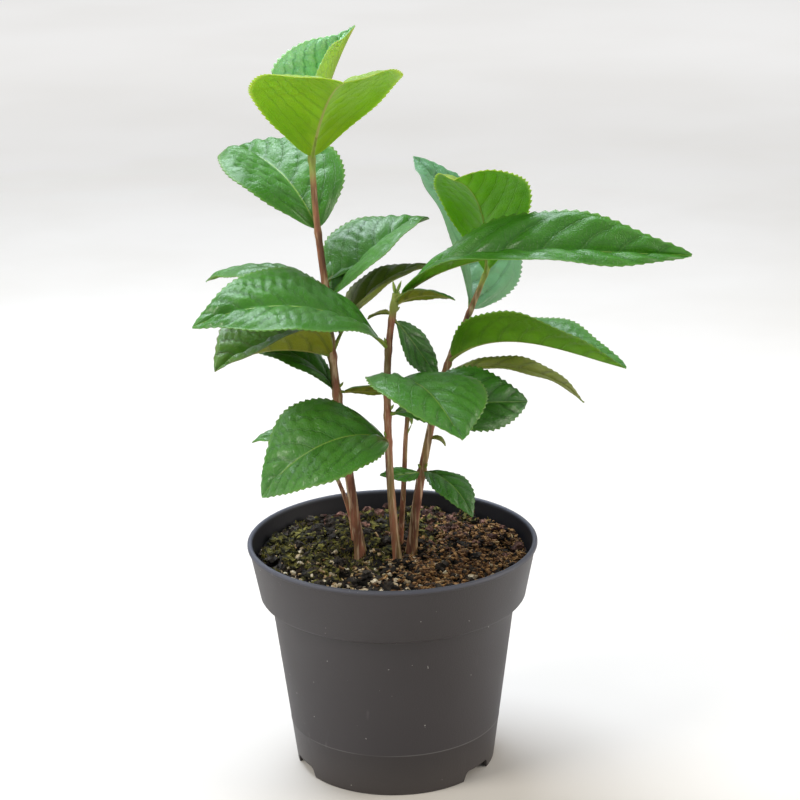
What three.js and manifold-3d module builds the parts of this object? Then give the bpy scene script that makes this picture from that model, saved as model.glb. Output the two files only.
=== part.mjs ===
// A young tea bush in its round nursery pot. Millimetres, +Z up, +X to the right, -Y to the front.
// The origin is the centre of the pot's flat underside.
import * as THREE from 'three';
import { mergeVertices } from 'three/addons/utils/BufferGeometryUtils.js';
import Module from 'manifold-3d';

const wasm = await Module();
wasm.setup();

const clearance = 0.3; // between pieces that touch
const degrees = Math.PI / 180;

// The pot: a tapering wall under a wider collar, with a rolled lip.
const pot = {
  height: 97,
  rimRadius: 60,
  collarTop: 59.2,
  collarFoot: 55.2,
  collarFootHeight: 73.5,
  bodyTop: 50.6,
  bodyTopHeight: 71,
  footRadius: 41.7,
  wall: 1.3,
  floorHeight: 5,
  hubRadius: 20,
  lipDepth: 2.2,
  segments: 40,
};
const footNotches = { angles: [-155, -36, 85], width: 20, height: 4.4, narrowing: 0.72, depth: 16 };
const drainHoles = { count: 6, radius: 3.2, ring: 31 };
const soil = { level: 90, edgeDrop: 2.2, roughness: 1.1, flatRadius: 24, segments: 40 };

// Stems: points that the middle of each stem passes through, its radius at the soil and at the top,
// and how far it swells at the soil.
const stems = {
  left: {
    path: [
      [-13, -3, 90], [-17.5, -4, 128], [-22, -2.5, 166], [-25.2, 0, 205], [-28, 1, 232], [-29.3, 1, 260],
    ],
    foot: 2.1,
    top: 1.15,
    flare: 0.8,
  },
  leftThin: {
    path: [[-15.5, 6, 90], [-17.5, 5, 106], [-22.5, 6, 121], [-31, 8, 137]],
    foot: 1.1,
    top: 0.8,
    flare: 0.4,
  },
  middle: {
    path: [[2.5, -16, 90], [0.5, -16.5, 112], [-0.9, -15.5, 145], [-0.4, -13.5, 180], [3, -12, 204]],
    foot: 1.7,
    top: 1.3,
    flare: 0.6,
  },
  middleThin: {
    path: [[3, 7.5, 90], [4.6, 2, 112], [5.6, -1, 130], [6.2, -2, 142], [8.4, -2, 160]],
    foot: 1.2,
    top: 0.8,
    flare: 0.4,
  },
  right: {
    path: [[7.8, 1.5, 90], [10.5, 0, 113], [16.5, 0, 145], [23.5, 0, 171], [32.5, 2, 192], [40.5, 4, 211]],
    foot: 2,
    top: 1.05,
    flare: 0.7,
  },
};
const stemSides = 8;
const flareHeight = 5;

// Leaves. Angles in degrees: azimuth 0 points right, 90 to the back, 270 to the front.
// rise lifts the root of the blade, arch bends its tip down, fold lifts both halves,
// roll and twist turn it about its rib, sway bends it sideways, taper narrows it to its tip,
// and a higher belly moves its widest part towards the tip.
const leafDefaults = {
  azimuth: 0, rise: 30, length: 70, width: 40, arch: 50,
  fold: 14, roll: 0, twist: 0, sway: 0, curl: 0, taper: 0, belly: 0.95, stalk: 3,
};
const blade = { thickness: 0.011, leastThickness: 0.8, cup: 0.1, stations: 8, across: 4 };
const stalk = { root: 0.95, tip: 0.55, sides: 5, steps: 4, ribShare: 0.16 };

// Each mass of leaves stands on its own stretch of a stem, from one height to the next, and keeps
// within a reach of that stretch. Its fill adds leaves by a seeded rule on the side named by azimuth.
const masses = {
  left_top: {
    stem: 'left', from: 243, to: 258.5, reach: 100, bud: 3,
    leaves: {
      crown: {
        at: 256.5, azimuth: 77, rise: 51.5, length: 61, width: 64, arch: 15.5,
        fold: 65.5, roll: -26, twist: 16.5, sway: -8.5, curl: 0.3, taper: 0.83,
      },
      shield: {
        at: 255.5, azimuth: 288.8, rise: 60.7, length: 86.2, width: 61.5, arch: 50,
        fold: 20.5, roll: -3, twist: -3.4, sway: -8, curl: -0.55, stalk: 1,
      },
    },
  },
  left_neck: {
    stem: 'left', from: 218.5, to: 242.7, reach: 80,
    leaves: {
      back: {
        at: 226.5, azimuth: 129, rise: 59, length: 64, width: 55,
        arch: 62, fold: 16, roll: -3, sway: 6, stalk: 1,
      },
    },
  },
  left_upper: {
    stem: 'left', from: 189, to: 218.2, reach: 75,
    leaves: {
      right: {
        at: 198, azimuth: 35, rise: 48, length: 56, width: 45,
        arch: 38, fold: 24, roll: 5, twist: -12,
      },
      left: {
        at: 199, azimuth: 142, rise: 36, length: 61, width: 28,
        arch: 67, fold: -6, roll: 5, sway: 6,
      },
    },
    fill: { count: 1, at: 205, azimuth: 60, rise: 22, length: 40, width: 22, seed: 3 },
  },
  left_middle: {
    stem: 'left', from: 169.5, to: 188.7, reach: 75,
    leaves: {
      left: {
        at: 176, azimuth: 207, rise: 23.5, length: 53, width: 55,
        arch: 46, fold: 33, roll: 18, twist: -30, sway: 1.5, curl: 0.45, stalk: 1,
      },
      right: {
        at: 177, azimuth: 26, rise: 64, length: 50, width: 28,
        arch: 60, fold: 19, roll: -7, stalk: 8,
      },
    },
    fill: { count: 1, at: 183, azimuth: 122, rise: 15, length: 50, width: 28, seed: 5 },
  },
  left_low: {
    stem: 'left', from: 148, to: 169.2, reach: 60,
    leaves: {
      left: {
        at: 159.5, azimuth: 165, rise: 62, length: 46, width: 24,
        arch: 75, fold: 10, roll: -2, twist: -12,
      },
      right: { at: 161, azimuth: -5, rise: 6, length: 24, width: 16, arch: 10, fold: 4, roll: -30 },
    },
  },
  left_side: {
    stem: 'leftThin', from: 124, to: 136, reach: 60,
    leaves: {
      left: { at: 134, azimuth: 178, rise: 32, length: 28, width: 20, arch: 50, fold: 14, stalk: 1 },
    },
    fill: { count: 1, at: 130, azimuth: 82, rise: 20, length: 46, width: 26, seed: 7 },
  },
  middle_low: {
    stem: 'middle', from: 136, to: 149, reach: 75,
    leaves: {
      left: {
        at: 144, azimuth: 222.7, rise: 36.8, length: 61.7, width: 52.7,
        arch: 100.4, fold: 13, roll: -24, twist: 2.3, sway: -6.3, curl: -0.27, belly: 0.9, stalk: 2,
      },
    },
  },
  middle_middle: {
    stem: 'middle', from: 149.3, to: 173, reach: 75,
    leaves: {
      front: {
        at: 164, azimuth: 309, rise: 50, length: 60, width: 50,
        arch: 78, fold: 11, roll: -12, curl: -1,
      },
      right: {
        at: 155, azimuth: 342, rise: 17, length: 57.5, width: 34,
        arch: 56, fold: 16, roll: 13, twist: 49, sway: 29.5, curl: 0.5,
      },
    },
  },
  middle_upper: {
    stem: 'middle', from: 173.3, to: 189.5, reach: 95,
    leaves: {
      left: {
        at: 182, azimuth: 206, rise: 47, length: 80, width: 48,
        arch: 70, fold: 14, roll: -14, twist: -16, sway: 4, stalk: 6,
      },
    },
  },
  middle_top: {
    stem: 'middle', from: 189.8, to: 203, reach: 130, bud: 2.4,
    leaves: {
      long: {
        at: 200.5, azimuth: 333, rise: 47, length: 119, width: 37.5,
        arch: 63.5, fold: 32, roll: 2.5, twist: 54, sway: 21, curl: -0.7, stalk: 5,
      },
      small: {
        at: 199, azimuth: -12.4, rise: 36.4, length: 27.5, width: 15,
        arch: 52.5, fold: 6, roll: -35, sway: -4.5, curl: -0.3, stalk: 2,
      },
      behind: {
        at: 194.5, azimuth: 31, rise: -50, length: 30, width: 18,
        arch: -12, fold: 3, roll: 51, twist: 10, sway: -31, curl: -0.2,
      },
    },
  },
  middle_thin_top: {
    stem: 'middleThin', from: 146, to: 158, reach: 55, bud: 2,
    leaves: {},
    fill: { count: 1, at: 150, azimuth: 58, rise: 10, length: 40, width: 22, seed: 11 },
  },
  right_foot: {
    stem: 'right', from: 119, to: 137, reach: 45,
    leaves: {
      right: { at: 125.5, azimuth: 313, rise: 14, length: 32, width: 18, arch: 70, fold: 4, stalk: 2 },
      left: {
        at: 125.5, azimuth: 228, rise: 5, length: 19.5, width: 10.5,
        arch: 2, fold: 8, roll: -20, sway: -24, curl: 0.3, stalk: 2,
      },
    },
  },
  right_low: {
    stem: 'right', from: 144, to: 158.7, reach: 60,
    leaves: {},
    fill: { count: 1, at: 152, azimuth: 88, rise: 14, length: 48, width: 27, seed: 13 },
  },
  right_middle: {
    stem: 'right', from: 159, to: 181, reach: 90,
    leaves: {
      upper: {
        at: 172, azimuth: 331, rise: 48, length: 78, width: 43,
        arch: 55, fold: 36, roll: -22, twist: 6, sway: 28, curl: -1.2,
      },
      lower: {
        at: 167.5, azimuth: -16.7, rise: 20.3, length: 58.5, width: 12,
        arch: 68.5, fold: 28, roll: 18, sway: 3.5, curl: 0.2,
      },
    },
    fill: { count: 1, at: 178, azimuth: 30, rise: 30, length: 42, width: 24, seed: 17 },
  },
  right_upper: {
    stem: 'right', from: 181.3, to: 200, reach: 95,
    leaves: {
      back: {
        at: 193, azimuth: 85.8, rise: 25.3, length: 83.7, width: 68.6,
        arch: 9.3, fold: 25.6, roll: 57.5, twist: -15, sway: 41.5, curl: -0.58, belly: 1.05, stalk: 1,
      },
    },
  },
  right_top: {
    stem: 'right', from: 200.3, to: 210.5, reach: 90, bud: 2.4,
    leaves: {
      front: {
        at: 207.5, azimuth: 281, rise: 65, length: 68.8, width: 43.4,
        arch: 47, fold: 30.8, roll: -18, twist: -1.6, sway: -24.4, curl: 0.62, belly: 1.06, stalk: 1,
      },
    },
  },
};

// Trunks run from the soil to the first leaf-bearing stretch, and a bough links two masses.
const limbs = {
  stem_left: { stem: 'left', from: soil.level + clearance, to: 147.7 },
  stem_left_thin: { stem: 'leftThin', from: soil.level + clearance, to: 123.7 },
  stem_middle: { stem: 'middle', from: soil.level + clearance, to: 135.7 },
  stem_middle_thin: { stem: 'middleThin', from: soil.level + clearance, to: 145.7 },
  stem_right: { stem: 'right', from: soil.level + clearance, to: 118.7 },
  bough_right: { stem: 'right', from: 137.3, to: 143.7 },
};

// A closed manifold solid of a geometry, welded by position.
function solidOf(geometry) {
  geometry.deleteAttribute('normal');
  geometry.deleteAttribute('uv');
  const welded = mergeVertices(geometry, 1e-4);
  const vertProperties = new Float32Array(welded.attributes.position.array);
  return new wasm.Manifold(
    new wasm.Mesh({ numProp: 3, vertProperties, triVerts: new Uint32Array(welded.index.array) })
  );
}

function geometryOf(solid) {
  const mesh = solid.getMesh();
  const geometry = new THREE.BufferGeometry();
  geometry.setAttribute('position', new THREE.BufferAttribute(mesh.vertProperties, 3));
  geometry.setIndex(new THREE.BufferAttribute(mesh.triVerts, 1));
  geometry.computeVertexNormals();
  return geometry;
}

// Moves every vertex of a geometry to where the rule puts it.
function reshape(geometry, rule) {
  const positions = geometry.attributes.position;
  const point = new THREE.Vector3();
  for (let i = 0; i < positions.count; i += 1) {
    point.copy(rule(point.fromBufferAttribute(positions, i)));
    positions.setXYZ(i, point.x, point.y, point.z);
  }
  return geometry;
}

function lathe(profile, segments) {
  const points = profile.map(([radius, height]) => new THREE.Vector2(radius, height));
  return new THREE.LatheGeometry(points, segments).rotateX(Math.PI / 2);
}

function makePot() {
  const { rimRadius, height, wall, footRadius, floorHeight, hubRadius, lipDepth } = pot;
  const innerAt = (radius) => radius - wall;
  const profile = [
    [0, 0],
    [hubRadius, 0],
    [hubRadius + 1.5, floorHeight],
    [innerAt(footRadius) - 0.6, floorHeight],
    [innerAt(footRadius), 0],
    [footRadius, 0],
    [pot.bodyTop, pot.bodyTopHeight],
    [pot.bodyTop + 1, pot.bodyTopHeight + 0.9],
    [pot.collarFoot - 0.6, pot.collarFootHeight - 0.3],
    [pot.collarFoot, pot.collarFootHeight + 0.6],
    [pot.collarTop, height - lipDepth],
    [rimRadius, height - lipDepth + 0.3],
    [rimRadius, height - 0.7],
    [rimRadius - 0.7, height],
    [rimRadius - 1.5, height],
    [rimRadius - 2.1, height - 0.6],
    [innerAt(pot.collarTop), height - lipDepth],
    [innerAt(pot.collarFoot), pot.collarFootHeight + 1.6],
    [innerAt(pot.bodyTop), pot.bodyTopHeight + 0.9],
    [innerAt(footRadius) + 1, floorHeight + wall],
    [hubRadius + 0.6, floorHeight + wall],
    [hubRadius - 0.9, wall],
    [0, wall],
  ];
  let solid = solidOf(lathe(profile, pot.segments));
  for (const angle of footNotches.angles) {
    const notch = new THREE.BoxGeometry(footNotches.depth, footNotches.width, footNotches.height * 2);
    reshape(notch, (p) => (p.z > 0 ? p.setY(p.y * footNotches.narrowing) : p));
    notch.translate(footRadius, 0, 0).rotateZ(angle * degrees);
    solid = solid.subtract(solidOf(notch));
  }
  for (let i = 0; i < drainHoles.count; i += 1) {
    const hole = new THREE.CylinderGeometry(drainHoles.radius, drainHoles.radius, 8, 12);
    hole.rotateX(Math.PI / 2).translate(drainHoles.ring, 0, floorHeight);
    hole.rotateZ((i * 360 * degrees) / drainHoles.count);
    solid = solid.subtract(solidOf(hole));
  }
  return solid;
}

// The soil fills the pot. It is level where the stems stand and uneven towards the wall.
function makeSoil() {
  const { rimRadius, bodyTop, bodyTopHeight, collarFoot, collarFootHeight, collarTop, wall } = pot;
  const gap = wall + clearance + 0.15;
  const share = (soil.level - collarFootHeight) / (pot.height - collarFootHeight);
  const edge = collarFoot + (collarTop - collarFoot) * share - gap;
  const top = [];
  for (let ring = 7; ring >= 0; ring -= 1) {
    const radius = (edge * ring) / 7;
    top.push([radius, soil.level - soil.edgeDrop * (radius / rimRadius) ** 4]);
  }
  const floorTop = pot.floorHeight + wall + clearance;
  const profile = [
    [0, wall + clearance],
    [pot.hubRadius - 1.4, wall + clearance],
    [pot.hubRadius + 0.3, floorTop],
    [pot.footRadius + 0.6 - gap, floorTop],
    [bodyTop - gap, bodyTopHeight + 0.9],
    [collarFoot - gap, collarFootHeight + 2.2],
    ...top,
  ];
  const geometry = reshape(lathe(profile, soil.segments), (p) => {
    const radius = Math.hypot(p.x, p.y);
    if (p.z < soil.level - soil.edgeDrop - 0.1 || radius < soil.flatRadius) return p;
    const broad = Math.sin(p.x * 0.31 + 1.7) * Math.sin(p.y * 0.27 - 0.6);
    const bumps = broad + 0.5 * Math.sin(p.x * 0.7 + p.y * 0.53);
    const fade = Math.min(1, (radius - soil.flatRadius) / 14);
    return p.setZ(p.z + soil.roughness * fade * bumps);
  });
  return solidOf(geometry);
}

for (const stem of Object.values(stems)) {
  stem.curve = new THREE.CatmullRomCurve3(stem.path.map((p) => new THREE.Vector3(...p)));
  stem.tipHeight = stem.path[stem.path.length - 1][2];
}

// The middle of a stem at a height, found by halving.
function stemAxis(stem, height) {
  let low = 0;
  let high = 1;
  for (let i = 0; i < 40; i += 1) {
    const middle = (low + high) / 2;
    if (stem.curve.getPoint(middle).z < height) low = middle;
    else high = middle;
  }
  return stem.curve.getPoint((low + high) / 2);
}

function stemRadius(stem, height) {
  const share = (height - soil.level) / (stem.tipHeight - soil.level);
  const flare = stem.flare * Math.exp(-(height - soil.level) / flareHeight);
  return stem.foot + (stem.top - stem.foot) * share + flare;
}

// A stretch of a stem between two heights, with flat ends.
function stemStretch(stem, from, to) {
  const steps = Math.max(3, Math.ceil((to - from) / 7));
  const rod = new THREE.CylinderGeometry(1, 1, 1, stemSides, steps).rotateX(Math.PI / 2);
  return solidOf(
    reshape(rod, (p) => {
      const height = from + (p.z + 0.5) * (to - from);
      const middle = stemAxis(stem, height);
      const radius = stemRadius(stem, height);
      return p.set(middle.x + p.x * radius, middle.y + p.y * radius, height);
    })
  );
}

// The rib of a leaf: its points, its direction, its sideways and its upward directions.
function ribOf(root, leaf, stations) {
  const azimuth = leaf.azimuth * degrees;
  const rise = leaf.rise * degrees;
  const along = new THREE.Vector3(
    Math.cos(azimuth) * Math.cos(rise),
    Math.sin(azimuth) * Math.cos(rise),
    Math.sin(rise)
  );
  const side = new THREE.Vector3(-Math.sin(azimuth), Math.cos(azimuth), 0);
  side.applyAxisAngle(along, leaf.roll * degrees);
  const up = new THREE.Vector3().crossVectors(along, side);
  const point = root.clone().addScaledVector(along, leaf.stalk);
  const rib = [];
  for (let i = 0; i <= stations; i += 1) {
    rib.push({ point: point.clone(), along: along.clone(), side: side.clone(), up: up.clone() });
    const middle = (i + 0.5) / stations;
    const bend = (leaf.arch * degrees * (1 + leaf.curl * (2 * middle - 1))) / stations;
    along.applyAxisAngle(side, bend);
    up.applyAxisAngle(side, bend);
    along.applyAxisAngle(up, (leaf.sway * degrees) / stations);
    side.applyAxisAngle(up, (leaf.sway * degrees) / stations);
    side.applyAxisAngle(along, (leaf.twist * degrees) / stations);
    up.applyAxisAngle(along, (leaf.twist * degrees) / stations);
    point.addScaledVector(along, leaf.length / stations);
  }
  return rib;
}

// Half the blade's width at a share of its length: a wedge at the root, widest before the middle,
// a pointed tip.
function halfWidth(leaf, share) {
  const outline = Math.sin(Math.PI * share ** leaf.belly) ** 0.92 * (1 - 0.22 * share ** 7);
  const narrowing = 1 - leaf.taper * share ** 2;
  return Math.max(0.3, (leaf.width / 2) * (outline || 0) * narrowing);
}

function makeBlade(leaf, rib) {
  const thickness = Math.max(blade.leastThickness, blade.thickness * leaf.length);
  const fold = leaf.fold * degrees;
  const slab = new THREE.BoxGeometry(1, 1, 1, blade.stations, blade.across, 1);
  return reshape(slab, (p) => {
    const share = Math.min(1, Math.max(0, p.x + 0.5));
    const across = p.y * 2;
    const { point, side, up } = rib[Math.round(share * blade.stations)];
    const half = halfWidth(leaf, share);
    const lift = Math.abs(across) * half * Math.sin(fold) - blade.cup * half * across * across;
    return point
      .clone()
      .addScaledVector(side, across * half * Math.cos(fold))
      .addScaledVector(up, lift + p.z * thickness);
  });
}

// The leaf's stalk runs from inside the stem to a little way along the rib.
function makeStalk(root, leaf, rib) {
  const end = Math.max(1, Math.round(stalk.ribShare * blade.stations));
  const path = new THREE.CatmullRomCurve3([root, rib[0].point, rib[end].point]);
  const frames = path.computeFrenetFrames(stalk.steps, false);
  const rod = new THREE.CylinderGeometry(1, 1, 1, stalk.sides, stalk.steps);
  return reshape(rod, (p) => {
    const share = p.y + 0.5;
    const step = Math.round(share * stalk.steps);
    const radius = stalk.root + (stalk.tip - stalk.root) * share;
    return path
      .getPointAt(share)
      .addScaledVector(frames.binormals[step], p.x * radius)
      .addScaledVector(frames.normals[step], p.z * radius);
  });
}

function makeBud(stem, height, size) {
  const bud = new THREE.SphereGeometry(1, 6, 5).rotateX(Math.PI / 2);
  const middle = stemAxis(stem, height);
  bud.scale(size * 0.42, size * 0.42, size);
  return solidOf(bud.translate(middle.x, middle.y, height + size * 0.6));
}

// A small seeded generator of numbers from -1 to 1.
function seededSpread(seed) {
  let state = seed;
  return () => {
    state = (state * 16807) % 2147483647;
    return (state / 2147483647) * 2 - 1;
  };
}

// The leaves that the seeded rule adds to a mass, each a little different in size and pose.
function fillLeaves({ count = 0, seed = 1, ...middle }) {
  const spread = seededSpread(seed * 7919);
  return Array.from({ length: count }, () => ({
    ...middle,
    azimuth: middle.azimuth + 6 * spread(),
    rise: middle.rise + 4 * spread(),
    length: middle.length * (1 + 0.06 * spread()),
    arch: 48 + 10 * spread(),
    fold: 12 + 5 * spread(),
    roll: 8 * spread(),
  }));
}

// True where a leaf keeps within its mass's reach and its rib stays off every stem but its own.
function keepsItsSpace(mass, rib) {
  const centre = stemAxis(stems[mass.stem], (mass.from + mass.to) / 2);
  return rib.every(({ point }) => {
    if (point.distanceTo(centre) > mass.reach) return false;
    return Object.entries(stems).every(([name, stem]) => {
      if (name === mass.stem || point.z > stem.tipHeight || point.z < soil.level) return true;
      return stemAxis(stem, point.z).distanceTo(point) > stemRadius(stem, point.z) + clearance;
    });
  });
}

function makeMass(mass) {
  const stem = stems[mass.stem];
  let solid = stemStretch(stem, mass.from, mass.to);
  for (const given of [...Object.values(mass.leaves), ...fillLeaves(mass.fill ?? {})]) {
    const leaf = { ...leafDefaults, ...given };
    const root = stemAxis(stem, leaf.at);
    const rib = ribOf(root, leaf, blade.stations);
    if (!keepsItsSpace(mass, rib)) continue;
    solid = solid.add(solidOf(makeStalk(root, leaf, rib))).add(solidOf(makeBlade(leaf, rib)));
  }
  if (mass.bud) solid = solid.add(makeBud(stem, mass.to, mass.bud));
  return solid;
}

function material(color, roughness) {
  return new THREE.MeshStandardMaterial({ color, roughness, metalness: 0 });
}

const finishes = {
  pot: material(0x423c3a, 0.55),
  soil: material(0x3a2b1f, 0.95),
  bark: material(0x7a4f3a, 0.75),
  leaf: material(0x2f7a2c, 0.4),
  youngLeaf: material(0x7fb516, 0.45),
};

const teaBush = new THREE.Group();
function place(name, solid, finish) {
  const mesh = new THREE.Mesh(geometryOf(solid), finish);
  mesh.name = name;
  teaBush.add(mesh);
}

place('pot', makePot(), finishes.pot);
place('soil', makeSoil(), finishes.soil);
for (const [name, limb] of Object.entries(limbs)) {
  place(name, stemStretch(stems[limb.stem], limb.from, limb.to), finishes.bark);
}
for (const [name, mass] of Object.entries(masses)) {
  place(`leaves_${name}`, makeMass(mass), mass.bud ? finishes.youngLeaf : finishes.leaf);
}

export default teaBush;
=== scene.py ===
import itertools
import math
import random

import bmesh
import bpy
import numpy
from mathutils import Matrix, Quaternion, Vector, noise


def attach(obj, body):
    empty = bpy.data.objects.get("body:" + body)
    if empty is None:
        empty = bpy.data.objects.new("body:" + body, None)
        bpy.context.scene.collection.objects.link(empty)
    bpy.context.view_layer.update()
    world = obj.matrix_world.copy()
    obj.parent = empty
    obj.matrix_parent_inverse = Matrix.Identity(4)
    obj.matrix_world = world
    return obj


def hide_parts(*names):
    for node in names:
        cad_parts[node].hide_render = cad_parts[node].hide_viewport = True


# A young tea bush in its nursery pot. Shapes are worked out in millimetres, in the frame of the packed
# model, and brought to metres when a piece is finished.
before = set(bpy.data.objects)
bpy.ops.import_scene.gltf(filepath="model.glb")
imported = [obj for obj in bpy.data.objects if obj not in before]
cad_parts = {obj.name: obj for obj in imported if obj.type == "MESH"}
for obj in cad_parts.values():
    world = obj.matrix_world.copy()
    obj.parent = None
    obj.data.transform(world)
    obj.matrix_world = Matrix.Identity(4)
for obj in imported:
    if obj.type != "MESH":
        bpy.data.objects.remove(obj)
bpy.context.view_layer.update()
print("frame loaded,", len(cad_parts), "nodes")

toMetres = 0.001

view = {"place": (0.00403, -0.82, 0.4082), "pitchDown": 17.08, "roll": -0.88, "lens": 95.13}
lamps = {
    "skyBox": {"place": (-0.25, 0.45, 1.1), "aim": (0, 0, 0.18), "size": 0.9, "power": 15, "tint": "e6f0ff"},
    "keyBox": {"place": (-0.9, -0.5, 0.9), "aim": (0, 0, 0.15), "size": 0.6, "power": 8, "tint": "fffaf2"},
    "sideBox": {"place": (1.0, -0.1, 0.5), "aim": (0, 0, 0.12), "size": 0.7, "power": 5, "tint": "fff6ea"},
}
floorLook = {
    "radius": 9.0, "pale": "ebe7e0", "worn": "e2ddd4", "sky": "f2f3f5", "skyPower": 0.45, "skySeen": 0.95,
    "near": 0.35, "far": 2.4, "farGlow": 0.56,
}


def paint(code):
    channels = [int(code[i : i + 2], 16) / 255 for i in (0, 2, 4)]
    return (*[c / 12.92 if c <= 0.04045 else ((c + 0.055) / 1.055) ** 2.4 for c in channels], 1)


# Shader building: one node at a time, with sockets given as values or as links.
def addNode(tree, kind, sockets=None, **settings):
    node = tree.nodes.new("ShaderNode" + kind)
    for key, value in settings.items():
        setattr(node, key, value)
    for key, value in (sockets or {}).items():
        if isinstance(value, bpy.types.NodeSocket):
            tree.links.new(value, node.inputs[key])
        else:
            node.inputs[key].default_value = value
    return node


def reckon(tree, operation, *values):
    return addNode(tree, "Math", dict(enumerate(values)), operation=operation).outputs[0]


def fade(tree, value, low, high, start=0.0, end=1.0):
    sockets = {"Value": value, "From Min": low, "From Max": high, "To Min": start, "To Max": end}
    return addNode(tree, "MapRange", sockets, interpolation_type="SMOOTHSTEP").outputs[0]


def mixPaint(tree, factor, first, second):
    return addNode(tree, "Mix", {0: factor, 6: first, 7: second}, data_type="RGBA").outputs[2]


# Lays a paint over a colour where a mask shows, at a share of its full strength.
def cover(tree, colour, mask, share, code):
    return mixPaint(tree, reckon(tree, "MULTIPLY", mask, share), colour, paint(code))


def newGroup(name, inputs, outputs):
    tree = bpy.data.node_groups.new(name, "ShaderNodeTree")
    for label, value in inputs.items():
        tree.interface.new_socket(label, in_out="INPUT", socket_type="NodeSocketFloat").default_value = value
    for label in outputs:
        tree.interface.new_socket(label, in_out="OUTPUT", socket_type="NodeSocketFloat")
    return tree, tree.nodes.new("NodeGroupInput").outputs, tree.nodes.new("NodeGroupOutput").inputs


def placeGroup(tree, group, sockets):
    return addNode(tree, "Group", sockets, node_tree=group).outputs


def newMaterial(name):
    material = bpy.data.materials.new(name)
    material.use_nodes = True
    return material, material.node_tree, material.node_tree.nodes["Principled BSDF"].inputs


def feed(tree, socket, value):
    tree.links.new(value, socket)


# The last part of each material: its colour, a roughness that follows a fine pattern, and a relief.
def dress(tree, surface, colour, fine, rough, height, strength, depth, span=(0.2, 0.8)):
    feed(tree, surface["Base Color"], colour)
    feed(tree, surface["Roughness"], fade(tree, fine, *span, *rough))
    bump = addNode(tree, "Bump", {"Strength": strength, "Distance": depth, "Height": height})
    feed(tree, surface["Normal"], bump.outputs[0])


def addObject(name, data):
    added = bpy.data.objects.new(name, data)
    bpy.context.scene.collection.objects.link(added)
    return added


# Blotches: a soft mask of patches. Stretch under 1 draws the patches out along Z.
def makeBlotchGroup():
    tree, given, result = newGroup(
        "blotches", {"Scale": 60, "Stretch": 1, "Low": 0.4, "High": 0.65, "Detail": 4}, ["Mask", "Fine"]
    )
    place = addNode(tree, "TexCoord").outputs["Object"]
    squeeze = addNode(tree, "CombineXYZ", {"X": 1.0, "Y": 1.0, "Z": given["Stretch"]}).outputs[0]
    drawn = addNode(tree, "VectorMath", {0: place, 1: squeeze}, operation="MULTIPLY").outputs[0]
    cloud = addNode(tree, "TexNoise", {"Vector": drawn, "Scale": given["Scale"], "Detail": given["Detail"]})
    feed(tree, result["Mask"], fade(tree, cloud.outputs[0], given["Low"], given["High"]))
    feed(tree, result["Fine"], cloud.outputs[0])
    return tree


# Veins of a leaf. veinMap holds the vein count along the blade and the distance from the rib in
# centimetres. bladeMap holds the share of the length and the share of the half width.
def makeVeinGroup():
    tree, given, result = newGroup(
        "leafVeins",
        {"Rib Width": 0.07, "Vein Width": 0.07, "Net Scale": 620},
        ["Rib", "Veins", "VeinShade", "Edge", "Net"],
    )
    veinMap = addNode(tree, "UVMap", uv_map="veinMap").outputs[0]
    bladeMap = addNode(tree, "UVMap", uv_map="bladeMap").outputs[0]
    count, distance, _ = addNode(tree, "SeparateXYZ", {0: veinMap}).outputs
    along, across, _ = addNode(tree, "SeparateXYZ", {0: bladeMap}).outputs
    thinning = reckon(tree, "MULTIPLY_ADD", along, -0.75, 1.0)
    ribWidth = reckon(tree, "MULTIPLY", given["Rib Width"], thinning)
    fromVein = reckon(tree, "PINGPONG", count, 0.5)
    inner = fade(tree, across, 0.97, 0.7)
    rib = fade(tree, reckon(tree, "DIVIDE", distance, ribWidth), 1.0, 0.35)
    veins = reckon(tree, "MULTIPLY", fade(tree, fromVein, given["Vein Width"], 0.0), inner)
    # A band beside each side vein, where the leaves lay painted shade in the creases between the pillows.
    veinShade = reckon(tree, "MULTIPLY", fade(tree, fromVein, 0.24, 0.02), inner)
    place = addNode(tree, "TexCoord").outputs["Object"]
    cells = addNode(
        tree, "TexVoronoi", {"Vector": place, "Scale": given["Net Scale"]}, feature="DISTANCE_TO_EDGE"
    )
    feed(tree, result["Rib"], rib)
    feed(tree, result["Veins"], veins)
    feed(tree, result["VeinShade"], veinShade)
    feed(tree, result["Edge"], fade(tree, across, 0.93, 1.0))
    feed(tree, result["Net"], fade(tree, cells.outputs["Distance"], 0.12, 0.0))
    return tree


blotches = makeBlotchGroup()
leafVeins = makeVeinGroup()
print("shader groups made")


def addBlotches(tree, scale, low, high, stretch=1.0, detail=4):
    sockets = {"Scale": scale, "Stretch": stretch, "Low": low, "High": high, "Detail": detail}
    return placeGroup(tree, blotches, sockets)


# The faces of the leaves: uppers are waxy with sunken veins, undersides are dull with raised ones.
upperFace = {"rough": 0.34, "coat": 0.2, "glow": 0.08, "rise": -1, "ribWidth": 0.06}
underFace = {"rough": 0.5, "coat": 0.06, "glow": 0.1, "rise": 1, "ribWidth": 0.06}
leafParts = ("blade", "deep", "vein", "rib", "edge")


# The colours of a face are given in the order of leafParts.
def leafLook(face, colours, **own):
    return {**face, **dict(zip(leafParts, colours.split())), **own}


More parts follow.
